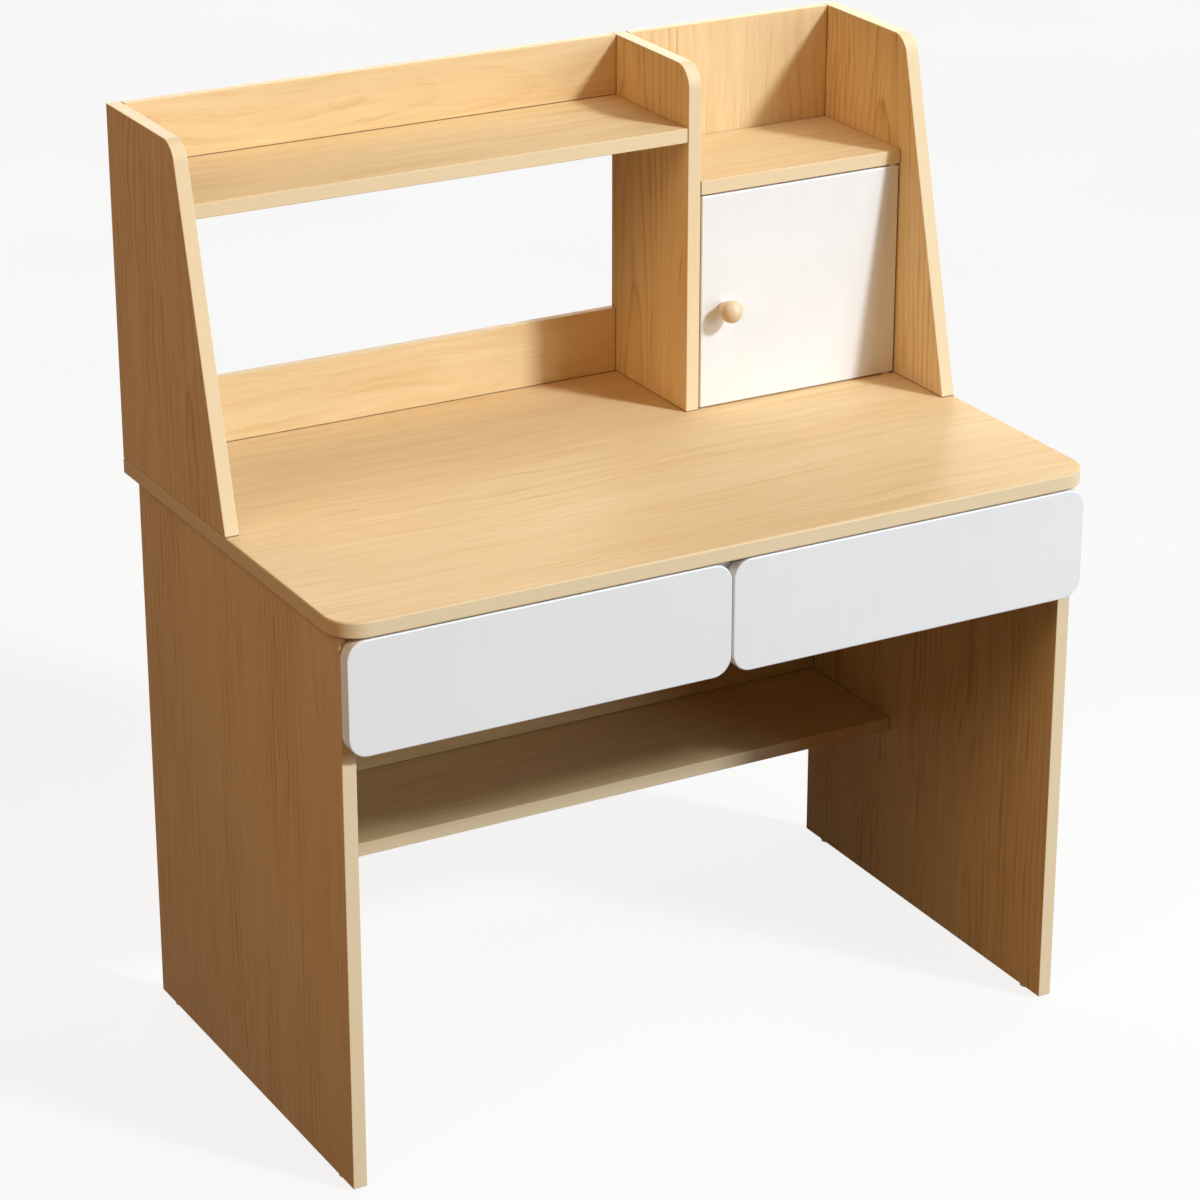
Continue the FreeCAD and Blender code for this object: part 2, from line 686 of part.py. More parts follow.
def make_slide(drawer, side, wall, hand, carrier, stagger):
    """A telescopic slide on one wall: three rails, their ball cages and their screws."""
    name = f"{drawer}_drawer"
    spots = [f"slide_front + rail_screw_inset + {stagger}",
             f"slide_front + slide_length - rail_screw_inset - {stagger}"]
    cabinet_rail = slide_member(f"{name}_{side}_cabinet_rail", wall, hand, cabinet_section(),
                                "slide_height")
    middle = channel_section("middle_web", "middle_web + slide_gauge", "middle_web + middle_flange",
                             "middle_height")
    middle_rail = slide_member(f"{name}_{side}_middle_rail", wall, hand, middle, "middle_height")
    runner = channel_section("slide_width", "slide_width - slide_gauge", "slide_width - drawer_flange",
                             "rail_height")
    drawer_rail = slide_member(f"{name}_{side}_drawer_rail", wall, hand, runner, "rail_height")
    keep(f"{name}_{side}_middle_rail", middle_rail)
    fixings = {"cabinet": [], "drawer": []}
    for spot in spots:
        wall_seat = moved((wall, spot, "slide_middle"), hand, "slide_gauge")
        length = "slide_gauge + rail_screw_bite"
        fixings["cabinet"].append(screw("cabinet_rail_screw", length, wall_seat, opposite(hand)))
        side_seat = moved((wall, spot, "slide_middle"), hand, "slide_width - slide_gauge")
        fixings["drawer"].append(screw(f"{name}_rail_screw", length, side_seat, hand))
    for fixing in fixings["cabinet"]:
        add_to_group("cabinet_rail_screws", fixing)
        drill(carrier, fixing)
    for fixing in fixings["drawer"]:
        add_to_group(f"{name}_rail_screws", fixing)
        drill(f"{name}_{side}_side", fixing)
    keep(f"{name}_{side}_cabinet_rail", cut("cabinet_rail", cabinet_rail, fixings["cabinet"]))
    keep(f"{name}_{side}_drawer_rail", cut("drawer_rail", drawer_rail, fixings["drawer"]))
    for cage, ball_line, height in (("outer", "outer_ball_line", "slide_height"),
                                    ("inner", "inner_ball_line", "middle_height")):
        rise = f"({height} / 2 - slide_gauge - ball_race / 2)"
        for level in (f"slide_middle + {rise}", f"slide_middle - {rise}"):
            add_to_group(f"{name}_{cage}_cages", ball_row(f"{name}_{cage}", wall, hand, ball_line, level))


def finish_boards():
    """Drill every board for its fasteners and fittings."""
    for name, body in blanks.items():
        if name in drillings:
            keep(name, cut(name + "_drilled", body, drillings[name]))
        else:
            keep(name, body)


def finish_groups():
    for name, pieces in groups.items():
        group = doc.addObject("Part::Compound", name + "_group")
        group.Links = pieces
        keep(name, group)


def check_model():
    """Stop if anything in the document failed, or a sub-part is empty or faulty."""
    failed = [item.Label for item in doc.Objects if {"Invalid", "Error"} & set(item.State)]
    if failed:
        raise RuntimeError("failed: " + ", ".join(failed))
    for name, piece in nodes.items():
        if piece.Shape.isNull() or not piece.Shape.isValid() or not piece.Shape.Solids:
            raise RuntimeError("bad shape: " + name)


def main():
    make_desktop()
    make_leg("left_leg", "-leg_outer", "-leg_inner", "-leg_outer", "+x")
    make_leg("right_leg", "leg_outer", "leg_inner", "leg_inner", "-x")
    make_base_boards()
    make_hutch_uprights()
    make_hutch_boards()
    make_door()
    make_knob()
    make_catch()
    half_gap = "drawer_middle_gap / 2"
    make_drawer("left", "-leg_inner", "-board / 2", "-leg_outer", f"-{half_gap}")
    make_drawer("right", "board / 2", "leg_inner", half_gap, "leg_outer")
    make_slide("left", "left", "-leg_inner", "+x", "left_leg", "0")
    make_slide("left", "right", "-board / 2", "-x", "drawer_partition", "0")
    make_slide("right", "left", "board / 2", "+x", "drawer_partition", "rail_screw_stagger")
    make_slide("right", "right", "leg_inner", "-x", "right_leg", "rail_screw_stagger")
    finish_boards()
    finish_groups()
    doc.recompute()
    check_model()
    os.makedirs("parts", exist_ok=True)
    for name, piece in nodes.items():
        piece.Shape.exportStep(f"parts/{name}.step")
    print(len(nodes), "sub-parts")


main()
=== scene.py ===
"""Finishes, screws, dowels, light and view for a student desk with a hutch, around its fixed frame."""

import json
import math
from functools import reduce
from operator import add
from typing import NamedTuple

import bmesh
import bpy
import numpy as np
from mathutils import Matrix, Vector

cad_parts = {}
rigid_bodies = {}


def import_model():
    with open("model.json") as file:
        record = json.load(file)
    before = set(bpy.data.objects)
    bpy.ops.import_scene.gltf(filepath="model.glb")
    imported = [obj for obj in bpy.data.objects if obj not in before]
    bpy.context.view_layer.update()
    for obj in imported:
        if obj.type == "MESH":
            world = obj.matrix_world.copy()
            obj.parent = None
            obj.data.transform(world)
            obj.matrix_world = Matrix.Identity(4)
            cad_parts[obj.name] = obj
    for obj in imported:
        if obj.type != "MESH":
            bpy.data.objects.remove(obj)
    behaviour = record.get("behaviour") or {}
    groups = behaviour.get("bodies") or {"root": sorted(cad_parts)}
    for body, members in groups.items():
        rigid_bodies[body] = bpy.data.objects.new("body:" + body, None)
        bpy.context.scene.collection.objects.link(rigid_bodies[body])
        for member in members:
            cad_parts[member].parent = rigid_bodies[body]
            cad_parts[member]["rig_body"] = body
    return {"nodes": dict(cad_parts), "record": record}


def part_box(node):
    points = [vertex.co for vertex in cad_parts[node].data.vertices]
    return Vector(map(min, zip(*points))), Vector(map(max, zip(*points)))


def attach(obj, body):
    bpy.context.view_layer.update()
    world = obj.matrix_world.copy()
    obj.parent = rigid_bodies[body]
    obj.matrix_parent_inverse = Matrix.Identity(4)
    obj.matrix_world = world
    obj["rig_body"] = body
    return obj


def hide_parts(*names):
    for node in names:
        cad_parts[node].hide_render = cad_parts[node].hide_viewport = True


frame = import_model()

bl_info = {
    "name": "Student Desk Finishes",
    "version": (1, 0, 0),
    "blender": (4, 5, 0),
    "location": "3D View > Sidebar > Desk",
    "description": "Woodgrain, lacquer, fittings and studio of a student desk with a hutch",
    "category": "Object",
}


class Layer(NamedTuple):
    """One noise of a finish: its waves per metre along and across the grain, and what it does there.

    Its harshness is the noise's own roughness. A mask made from it rises between the two levels of rise.
    It bends the grain by so many metres, and tone, dulls and raises are its shares of the tone, of the
    surface's roughness and of the relief.
    """

    along: float
    across: float
    detail: float = 2.0
    harshness: float = 0.5
    rise: tuple = (0.0, 1.0)
    bends: float = 0.0
    tone: float = 0.0
    dulls: float = 0.0
    raises: float = 0.0


class Coat(NamedTuple):
    """A plain finish: its noises, the tones where its dim and its full colour stand, and its surface."""

    layers: tuple
    stops: tuple
    dim: float = 1.0
    roughness: float = 0.5
    relief: float = 0.0
    metallic: float = 0.0


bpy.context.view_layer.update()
SLOTS = {row["node"]: row["material_slot"] for row in frame["record"]["subparts"]}
AXES = "XYZ"
WHOLE_TURN = 2 * math.pi

# The distances within which two boards meet and two corners are one
TOUCH = 0.0002
WELD = 0.000002

# Where a pattern is read: on the object, or on an attribute that a grown piece carries
GRAIN_PLACE = "grain_place"
OBJECT_PLACE = ("ShaderNodeTexCoord", None, None, "Object")
GRAIN_ATTRIBUTE = ("ShaderNodeAttribute", {"attribute_name": GRAIN_PLACE}, None, "Vector")

# The noises of the printed oak
OAK = {
    "wander": Layer(1.6, 5.0, bends=0.06),
    "wave": Layer(6.0, 9.0, bends=0.020),
    "ripple": Layer(15.0, 24.0, bends=0.007),
    "drift": Layer(0.9, 8.0, tone=0.55),
    "flame": Layer(5.0, 80.0, detail=3.0, harshness=0.6, tone=0.80),
    "streak": Layer(3.5, 230.0, harshness=0.6, tone=0.40),
    "fibre": Layer(11.0, 620.0, harshness=0.6, tone=0.20, dulls=0.10, raises=0.5),
    "pore": Layer(60.0, 1500.0, detail=1.0, rise=(0.60, 0.74), tone=0.12, dulls=0.08, raises=-1.0),
    "shown": Layer(2.2, 11.0, rise=(0.36, 0.64)),
    "cluster": Layer(4.0, 24.0, rise=(0.45, 0.62)),
    "lines": Layer(9.0, 330.0, detail=1.0, rise=(0.40, 0.31), tone=0.30),
    "hairs": Layer(7.0, 430.0, detail=1.0, rise=(0.58, 0.68), tone=-0.27),
    "blush": Layer(2.4, 8.0, rise=(0.42, 0.72), tone=0.30),
    "band": Layer(420.0, 6.0, detail=3.0, tone=0.35),
}

# How each next board's stretch of print is cut, and how its growth rings lie round the pith
PRINT_STEP = 7.3
DEPTH_STRETCH = 4.0
PITH_SWAY = 0.22
PITH_TURN = 2.1
PITH_SLOPE = 0.06
PITH_WANDER = 0.05
PITH_DEPTH = 0.035
RING_WAVER = 1.2
RING_TONE = 0.32
RING_CURVE = ((0.0, 0.05), (0.60, 0.30), (0.90, 1.0), (1.0, 0.05))

# The tones of a board's faces, bands and joint lines (painted contact shadow and dirt where boards meet), and
# how squarely a face and a seam point outwards
FACE_TONE = 0.30
FACE_STOPS = (0.0, 0.42, 0.80, 1.0)
FACE_RISE = (0.80, 0.86)
BAND_TONE = 0.40
BAND_STOPS = (0.2, 1.0)
SEAM_TONE = 0.5
SEAM_RISE = (0.55, 0.70)
JOINT_SHADE_CORE = 0.4
JOINT_SHADE_TONE = 0.88

# The beech of the knob and the dowels
BEECH_FIBRE = Layer(45.0, 900.0, tone=0.6, dulls=0.12)
BEECH_CURVE = ((0.0, 0.1), (0.75, 0.5), (0.95, 1.0), (1.0, 0.1))
BEECH_WAVER = 0.5
BEECH_RING_TONE = 0.5
BEECH_TONE = 0.1
BEECH_ROUGHNESS = 0.42
BEECH_RELIEF = 0.00006
KNOB_PITH = Vector((0.017, 0.0, -0.011))
DOWEL_PITH = (0.004, 0.006, 0.0)

# The plain finishes
LACQUER = Coat(
    layers=(
        Layer(9.0, 9.0, detail=3.0, tone=0.6, dulls=0.10),
        Layer(5.0, 140.0, detail=3.0, tone=0.4, dulls=0.08, raises=1.1),
        Layer(900.0, 900.0, detail=1.0, raises=1.0)),
    stops=(0.34, 0.60))
BOARD = Coat(
    layers=(
        Layer(14.0, 260.0, tone=0.6, raises=1.0),
        Layer(1400.0, 1400.0, detail=1.0, tone=0.4, dulls=0.14)),
    stops=(0.30, 0.62), dim=0.90, roughness=0.46, relief=0.00005)
STEEL = Coat(
    layers=(
        Layer(55.0, 55.0, detail=3.0, tone=0.6, dulls=0.16),
        Layer(12.0, 1600.0, tone=0.4, dulls=0.14, raises=1.0)),
    stops=(0.28, 0.66), dim=0.80, relief=0.00002, metallic=1.0)
NYLON = Coat(
    layers=(
        Layer(120.0, 120.0, tone=1.0),
        Layer(2600.0, 2600.0, dulls=0.16, raises=1.0)),
    stops=(0.30, 0.65), dim=0.92, roughness=0.48, relief=0.00004)
METAL_ROUGHNESS = {"slide_steel": 0.34, "cast_zinc": 0.44, "plated_steel": 0.28, "screw_plate": 0.26}

# How finely the screws and dowels are made, and the attribute that says which way each of them points
WAY = "way"
HEAD_RINGS = 5
RINGS_PER_TURN = 8
SCREW_SIDES = 20
SCREW_SEED = 3
DOWEL_RINGS = 5
SIDES_PER_FLUTE = 4
DOWEL_SEED = 5
SHARP_ANGLE = math.radians(35.0)

# The studio
FLOOR_RADIUS = 40.0
FLOOR_SIDES = 96
FLOOR_DROP = 0.0002
FLOOR_CLOUD = Layer(1.5, 1.5)
FLOOR_STOPS = (0.3, 0.7)
FLOOR_DIM = 0.985
SEEN_RAYS = ("Is Camera Ray", "Is Glossy Ray", "Is Transmission Ray")
DESK_MIDDLE = Vector((0.0, 0.0, 0.62))
KEY_PLACE = (2.3, -3.4, 3.37)
NEAR_PLACE = (2.3, -2.9, 1.5)
TOP_PLACE = (0.75, 0.12, 2.0)
SIDE_PLACE = (-3.2, -1.6, 3.4)
BACK_PLACE = (1.8, 4.0, 1.27)
LAMP_WIDTH = {"SUN": "angle", "AREA": "size"}
SENSOR_WIDTH = 36.0


def slot_nodes(slot):
    """The frame's nodes that take their finish from one of the record's material slots, in a steady order."""
    return sorted(node for node, name in SLOTS.items() if name == slot)


def dress(node, material):
    """Gives a frame node's every material slot one finish."""
    for slot in frame["nodes"][node].material_slots:
        slot.material = material


def dress_slot(slot, material):
    """Gives one finish to all nodes of one of the record's material slots."""
    for node in slot_nodes(slot):
        dress(node, material)


def opaque(colour):
    return (*colour, 1.0)


def dimmed(colour, share):
    return tuple(share * part for part in colour)


class Wire:
    """A socket on its way through a node tree. Sums on it add Math nodes."""

    def __init__(self, graph, socket):
        self.graph = graph
        self.socket = socket

    def math(self, operation, *values):
        return self.graph.node("ShaderNodeMath", {"operation": operation}, dict(enumerate((self, *values))))

    def __add__(self, other):
        return self.math("ADD", other)

    __radd__ = __add__

    def __sub__(self, other):
        return self.math("SUBTRACT", other)

    def __rsub__(self, other):
        return self * -1.0 + other

    def __mul__(self, other):
        return self.math("MULTIPLY", other)

    __rmul__ = __mul__

    def __truediv__(self, other):
        return self.math("DIVIDE", other)

    def __abs__(self):
        return self.math("ABSOLUTE")

    def __gt__(self, other):
        return self.math("GREATER_THAN", other)

    def __lt__(self, other):
        return self.math("LESS_THAN", other)

    def root(self):
        return self.math("SQRT")

    def fraction(self):
        return self.math("FRACT")

    def rounded(self):
        return self.math("ROUND")

    def sign(self):
        return self.math("SIGN")

    def sine(self):
        return self.math("SINE")

    def cosine(self):
        return self.math("COSINE")

    def least(self, other):
        return self.math("MINIMUM", other)

    def most(self, other):
        return self.math("MAXIMUM", other)


def total(wires):
    """The sum of some wires."""
    return reduce(add, wires)


def distance(first, second):
    """How far a place is from the line where both of its offsets are 0."""
    return (first * first + second * second).root()


class Graph:
    """A node tree, written as expressions."""

    def __init__(self, tree):
        self.tree = tree
        self.tree.nodes.clear()

    def node(self, kind, settings=None, inputs=None, output=0):
        """Adds a node: its settings first, then the values or links of its sockets."""
        made = self.tree.nodes.new(kind)
        for name, value in (settings or {}).items():
            if name == "stops":
                self.set_stops(made.color_ramp, value)
            else:
                setattr(made, name, value)
        for name, value in (inputs or {}).items():
            wires = value if isinstance(value, list) else [value]
            for wire in wires:
                if isinstance(wire, Wire):
                    self.tree.links.new(wire.socket, made.inputs[name])
                else:
                    made.inputs[name].default_value = wire
        return Wire(self, made.outputs[output]) if made.outputs else None

    @staticmethod
    def set_stops(ramp, stops):
        """Puts a ramp's stops, each a position and a colour, in the order given."""
        while len(ramp.elements) < len(stops):
            ramp.elements.new(1.0)
        for element, (position, colour) in zip(ramp.elements, stops):
            element.position = position
            element.color = opaque(colour)

    def parts(self, vector):
        split = self.node("ShaderNodeSeparateXYZ", inputs={0: vector})
        return [Wire(self, socket) for socket in split.socket.node.outputs]

    def vector(self, first, second, third):
        return self.node("ShaderNodeCombineXYZ", inputs={0: first, 1: second, 2: third})


class Finish(Graph):
    """The node tree of one material or of the world."""

    def __init__(self, owner):
        owner.use_nodes = True
        super().__init__(owner.node_tree)
        self.owner = owner

    def place(self):
        return self.node(*OBJECT_PLACE)

    def noise(self, vector, layer, axis=0):
        """A layer's noise, from 0 to 1, with its grain along one axis."""
        stretch = [layer.across] * 3
        stretch[axis] = layer.along
        factors = {0: vector, 1: tuple(stretch)}
        stretched = self.node("ShaderNodeVectorMath", {"operation": "MULTIPLY"}, factors)
        values = {"Vector": stretched, "Scale": 1.0, "Detail": layer.detail, "Roughness": layer.harshness}
        return self.node("ShaderNodeTexNoise", inputs=values)

    def swing(self, vector, layer, axis=0):
        """A layer's noise, about 0."""
        return self.noise(vector, layer, axis) - 0.5

    def mask(self, vector, layer):
        """0 or 1, with a smooth rise where a layer's noise is between its levels."""
        return self.step(self.noise(vector, layer), layer.rise)

    def step(self, value, rise):
        """0 below the first level, 1 above the second; the other way round where the first is higher."""
        low, high = rise
        limits = {"Value": value, "From Min": low, "From Max": high}
        return self.node("ShaderNodeMapRange", {"interpolation_type": "SMOOTHSTEP"}, limits)

    def ramp(self, value, positions, colours):
        return self.node("ShaderNodeValToRGB", {"stops": list(zip(positions, colours))}, {"Fac": value})

    def curve(self, value, points):
        """A number that follows points, each a position and a level."""
        positions, levels = zip(*points)
        return self.ramp(value, positions, [(level,) * 3 for level in levels])

    def blend(self, share, first, second):
        """A colour between two others."""
        return self.node("ShaderNodeMix", {"data_type": "RGBA"}, {0: share, 6: first, 7: second}, output=2)

    def seen(self):
        """1 for rays that end in the picture, straight, mirrored or through glass, and 0 for the rest."""
        return reduce(Wire.most, (self.node("ShaderNodeLightPath", output=kind) for kind in SEEN_RAYS))

    def surface(self, colour, roughness, relief, relief_depth, constants):
        """Ends the tree in a Principled surface with a relief in metres."""
        heights = {"Height": relief, "Strength": 1.0, "Distance": relief_depth}
        bump = self.node("ShaderNodeBump", inputs=heights)
        values = {"Base Color": colour, "Roughness": roughness, "Normal": bump, **constants}
        shader = self.node("ShaderNodeBsdfPrincipled", inputs=values)
        self.node("ShaderNodeOutputMaterial", inputs={"Surface": shader})
        return self.owner


class Recipe(Graph):
    """A Geometry Nodes tree with named inputs, which stands one round shape on each of its points."""

    def __init__(self, name, sizes):
        super().__init__(bpy.data.node_groups.new(name, "GeometryNodeTree"))
        sockets = self.tree.interface
        sockets.new_socket("Points", in_out="INPUT", socket_type="NodeSocketGeometry")
        sockets.new_socket("Finish", in_out="INPUT", socket_type="NodeSocketMaterial")
        for size in sizes:
            sockets.new_socket(size, in_out="INPUT", socket_type="NodeSocketFloat")
        sockets.new_socket("Mesh", in_out="OUTPUT", socket_type="NodeSocketGeometry")
        inlet = self.tree.nodes.new("NodeGroupInput")
        self.size = {socket.name: Wire(self, socket) for socket in inlet.outputs if socket.name}

    def rolled(self, rings, sides, profile):
        """A sheet rolled up about Z. The profile gives a radius and a height for each ring and turn."""
        counts = {"Size X": rings, "Size Y": 1.0, "Vertices X": rings + 1, "Vertices Y": sides + 1}
        sheet = self.node("GeometryNodeMeshGrid", inputs=counts)
        place = self.parts(self.node("GeometryNodeInputPosition"))
        turn = place[1] + 0.5
        radius, height = profile((place[0] + rings / 2).rounded(), turn)
        angle = turn * WHOLE_TURN
        spot = self.vector(radius * angle.cosine(), radius * angle.sine(), height)
        bent = self.node("GeometryNodeSetPosition", inputs={"Geometry": sheet, "Position": spot})
        return self.node("GeometryNodeMergeByDistance", inputs={"Geometry": bent, "Distance": WELD})

    def planted(self, shape, seed):
        """Stands the shape on every point, each with a turn of its own, and ends the tree."""
        smooth = self.node("GeometryNodeSetShadeSmooth", inputs={"Geometry": shape})
        is_soft = self.node("GeometryNodeInputMeshEdgeAngle") < SHARP_ANGLE
        edges = {"Geometry": smooth, "Shade Smooth": is_soft}
        shaded = self.node("GeometryNodeSetShadeSmooth", {"domain": "EDGE"}, edges)
        way = self.node("GeometryNodeInputNamedAttribute", {"data_type": "FLOAT_VECTOR"}, {"Name": WAY})
        upright = self.node("FunctionNodeAlignRotationToVector", {"axis": "Z"}, {"Vector": way})
        limits = {2: 0.0, 3: WHOLE_TURN, "Seed": seed}
        spin = self.node("FunctionNodeRandomValue", {"data_type": "FLOAT"}, limits, output=1)
        turned = self.node("FunctionNodeAxisAngleToRotation", inputs={"Axis": (0.0, 0.0, 1.0), "Angle": spin})
        turns = {"Rotation": upright, "Rotate By": turned}
        rotation = self.node("FunctionNodeRotateRotation", {"rotation_space": "LOCAL"}, turns)
        standing = {"Points": self.size["Points"], "Instance": shaded, "Rotation": rotation}
        placed = self.node("GeometryNodeInstanceOnPoints", inputs=standing)
        real = self.node("GeometryNodeRealizeInstances", inputs={"Geometry": placed})
        finished = {"Geometry": real, "Material": self.size["Finish"]}
        self.node("NodeGroupOutput", inputs={"Mesh": self.node("GeometryNodeSetMaterial", inputs=finished)})
        return self

    def grow(self, name, places, ways, values):
        """One plain mesh object with the shape standing on every place."""
        points = bpy.data.meshes.new(name + "_places")
        points.from_pydata(places, [], [])
        points.attributes.new(WAY, "FLOAT_VECTOR", "POINT").data.foreach_set("vector", np.ravel(ways))
        piece = bpy.data.objects.new(name, points)
        bpy.context.scene.collection.objects.link(piece)
        growth = piece.modifiers.new(name, "NODES")
        growth.node_group = self.tree
        for socket in self.tree.interface.items_tree:
            if socket.name in values:
                growth[socket.identifier] = values[socket.name]
        grown = piece.evaluated_get(bpy.context.evaluated_depsgraph_get())
        mesh = bpy.data.meshes.new_from_object(grown)
        if not mesh.polygons:
            raise RuntimeError(f"nothing grew for {name}")
        piece.modifiers.remove(growth)
        piece.data = mesh
        bpy.data.meshes.remove(points)
        mesh.attributes.remove(mesh.attributes[WAY])
        mesh.name = name
        return piece


def solids_of(node):
    """The corner points of each separate solid in a frame node, in a steady order."""
    shape = bmesh.new()
    shape.from_mesh(frame["nodes"][node].data)
    bmesh.ops.remove_doubles(shape, verts=shape.verts, dist=WELD)
    shape.verts.ensure_lookup_table()
    found = set()
    solids = []
    for start in range(len(shape.verts)):
        if start in found:
            continue
        found.add(start)
        reached = [shape.verts[start]]
        for vert in reached:
            for edge in vert.link_edges:
                other = edge.other_vert(vert)
                if other.index not in found:
                    found.add(other.index)
                    reached.append(other)
        solids.append(np.array([vert.co for vert in reached]))
    shape.free()
    return solids


def read_rod(corners):
    """The axis and the middle of a round solid, and its corners' heights along the axis and radii."""
    low, high = corners.min(axis=0), corners.max(axis=0)
    middle = (low + high) / 2
    axis = int(np.argmax(high - low))
    offsets = corners - middle
    heights = offsets[:, axis].copy()
    offsets[:, axis] = 0.0
    return axis, middle, heights, np.linalg.norm(offsets, axis=1)


def read_screw(corners):
    """The seat of a screw's head, the way that its head points, and its sizes."""
    axis, middle, heights, radii = read_rod(corners)
    rim = heights[radii > radii.max() - TOUCH]
    side = np.sign(rim.mean())
    seat = (rim * side).min()
    way = np.zeros(3)
    way[axis] = side
    sizes = {
        "Head Radius": float(radii.max()),
        "Head Height": float((rim * side).max() - seat),
        "Shank Radius": float(radii[heights * side < seat - TOUCH].max()),
        "Shank Length": float(seat - (heights * side).min()),
    }
    return middle + way * seat, way, sizes


def stand_in(node, piece):
    """Lets a grown piece stand for a frame node, on the node's own body."""
    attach(piece, frame["nodes"][node]["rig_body"])
    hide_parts(node)


def new_finish(name):
    return Finish(bpy.data.materials.new(name))


def colour_field(name, description, default):
    return bpy.props.FloatVectorProperty(
        name=name, description=description, subtype="COLOR", size=3, min=0.0, max=1.0, default=default)


def length_field(name, description, default):
    return bpy.props.FloatProperty(
        name=name, description=description, unit="LENGTH", min=0.0, precision=5, default=default)


def share_field(name, description, default):
    return bpy.props.FloatProperty(
        name=name, description=description, subtype="FACTOR", min=0.0, max=1.0, default=default)


def number_field(name, description, default):
    return bpy.props.FloatProperty(name=name, description=description, min=0.0, default=default)


def power_field(name, description, default):
    return bpy.props.FloatProperty(
        name=name, description=description, subtype="POWER", min=0.0, default=default)


def angle_field(name, description, degrees):
    return bpy.props.FloatProperty(
        name=name, description=description, subtype="ANGLE", default=math.radians(degrees))


class OakLook(bpy.types.PropertyGroup):
    """The printed woodgrain of the boards."""

    pale: colour_field("Early wood", "Palest tone of the print", (0.825, 0.635, 0.376))
    main: colour_field("Ground", "Main tone of the print", (0.757, 0.545, 0.289))
    streak: colour_field("Late wood", "Darker tone of the rings", (0.630, 0.408, 0.192))
    pore: colour_field("Pores", "Darkest tone of the print", (0.41, 0.236, 0.097))
    blush: colour_field("Blush", "Redder tone that clouds the print", (0.742, 0.495, 0.252))
    band: colour_field("Edge band", "Main tone of the banded edges", (0.81, 0.66, 0.43))
    band_streak: colour_field("Band streaks", "Darker tone of the banded edges", (0.71, 0.53, 0.315))
    # The joint colour is painted contact shadow, with some dirt, in the groove where two boards meet
    joint: colour_field("Joints", "Tone of the line where two boards meet", (0.11, 0.055, 0.022))
    joint_width: length_field("Joint width", "Width of the line where two boards meet", 0.0018)
    ring_pitch: length_field("Ring spacing", "Distance between growth rings", 0.011)
    upright_figure: number_field("Upright figure", "Strength of the figure on upright boards", 1.6)
    level_figure: number_field("Level figure", "Strength of the figure on level boards", 0.55)
    roughness: share_field("Roughness", "Roughness of the satin laminate", 0.42)
    gloss: share_field("Gloss", "Specular level of the laminate", 0.022)
    relief: length_field("Relief", "Depth of the embossed grain", 0.00012)


class LacquerLook(bpy.types.PropertyGroup):
    """The white lacquer of the door and the drawer fronts."""

    white: colour_field("White", "Colour of the lacquer", (0.81, 0.81, 0.803))
    shade: colour_field("Shade", "Colour where the coat is thin", (0.787, 0.786, 0.777))
    roughness: share_field("Roughness", "Roughness of the satin coat", 0.34)
    relief: length_field("Relief", "Depth of the spray texture", 0.00003)


class FittingLook(bpy.types.PropertyGroup):
    """The metals, plastics and plain boards of the fittings and drawers."""

    plated: colour_field("Zinc plate", "Colour of the screws and pins", (0.68, 0.69, 0.70))
    slide: colour_field("Slide steel", "Colour of the drawer slides", (0.62, 0.64, 0.66))
    cast: colour_field("Cast zinc", "Colour of the cam locks and bolts", (0.55, 0.55, 0.56))
    nylon: colour_field("Nylon", "Colour of the glides, bushes and catch", (0.78, 0.77, 0.73))
    melamine: colour_field("Melamine", "Colour of the drawer boards", (0.76, 0.75, 0.72))
    hardboard: colour_field("Hardboard", "Colour of the drawer bottoms", (0.72, 0.69, 0.64))
    beech: colour_field("Beech", "Colour of the knob and the dowels", (0.75, 0.60, 0.39))
    beech_ring: colour_field("Beech rings", "Colour of the rings in the beech", (0.62, 0.46, 0.27))
    beech_pitch: length_field("Beech ring spacing", "Distance between rings in the beech", 0.0026)


class ScrewSizes(bpy.types.PropertyGroup):
    """The cross-head screws and the fluted dowels. The names are those of the recipes' inputs."""

    recess_width: length_field("Recess Width", "Width of each arm of the cross", 0.0009)
    recess_span: length_field("Recess Span", "Length of each arm of the cross", 0.0038)
    recess_depth: length_field("Recess Depth", "Depth of the cross", 0.0010)
    thread_pitch: length_field("Thread Pitch", "Distance between turns of the thread", 0.0016)
    thread_depth: length_field("Thread Depth", "Height of the thread", 0.0005)
    point_length: length_field("Point Length", "Length of the screw's tapered point", 0.0035)
    chamfer: length_field("Chamfer", "Bevel on the ends of a dowel", 0.0009)
    flute_depth: length_field("Flute Depth", "Depth of the flutes on a dowel", 0.0003)
    flutes: bpy.props.FloatProperty(name="Flutes", description="Flutes round a dowel", min=3.0, default=16.0)


